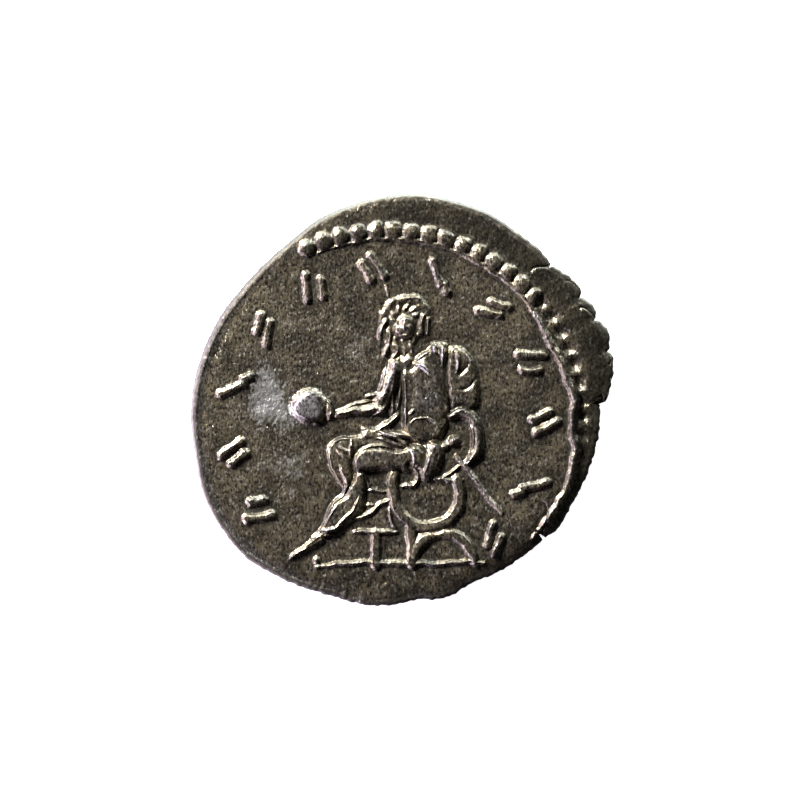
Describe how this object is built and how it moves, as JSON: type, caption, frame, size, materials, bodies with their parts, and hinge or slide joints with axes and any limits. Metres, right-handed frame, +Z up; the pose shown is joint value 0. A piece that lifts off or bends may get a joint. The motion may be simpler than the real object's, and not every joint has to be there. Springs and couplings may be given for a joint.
{
  "type": "ancient silver coin",
  "caption": "Worn, hand-struck silver coin with an uneven split edge: a seated figure with a globe on one side and a wreathed head in profile on the other.",
  "frame": {"origin": "middle of the outline's box, on the surface the coin lies on", "axes": "+Z up through the coin's thickness, out of the side with the seated figure; +Y towards the top of that figure, +X to its right as seen"},
  "size_m": [0.02, 0.0196, 0.0019],
  "materials": {
    "toned_silver": "old silver with a dark brown-grey tone, rubbed bright on the high edges, with a few pale worn patches and fine grain"
  },
  "bodies": {
    "root": {"coin": "toned_silver"}
  },
  "joints": []
}
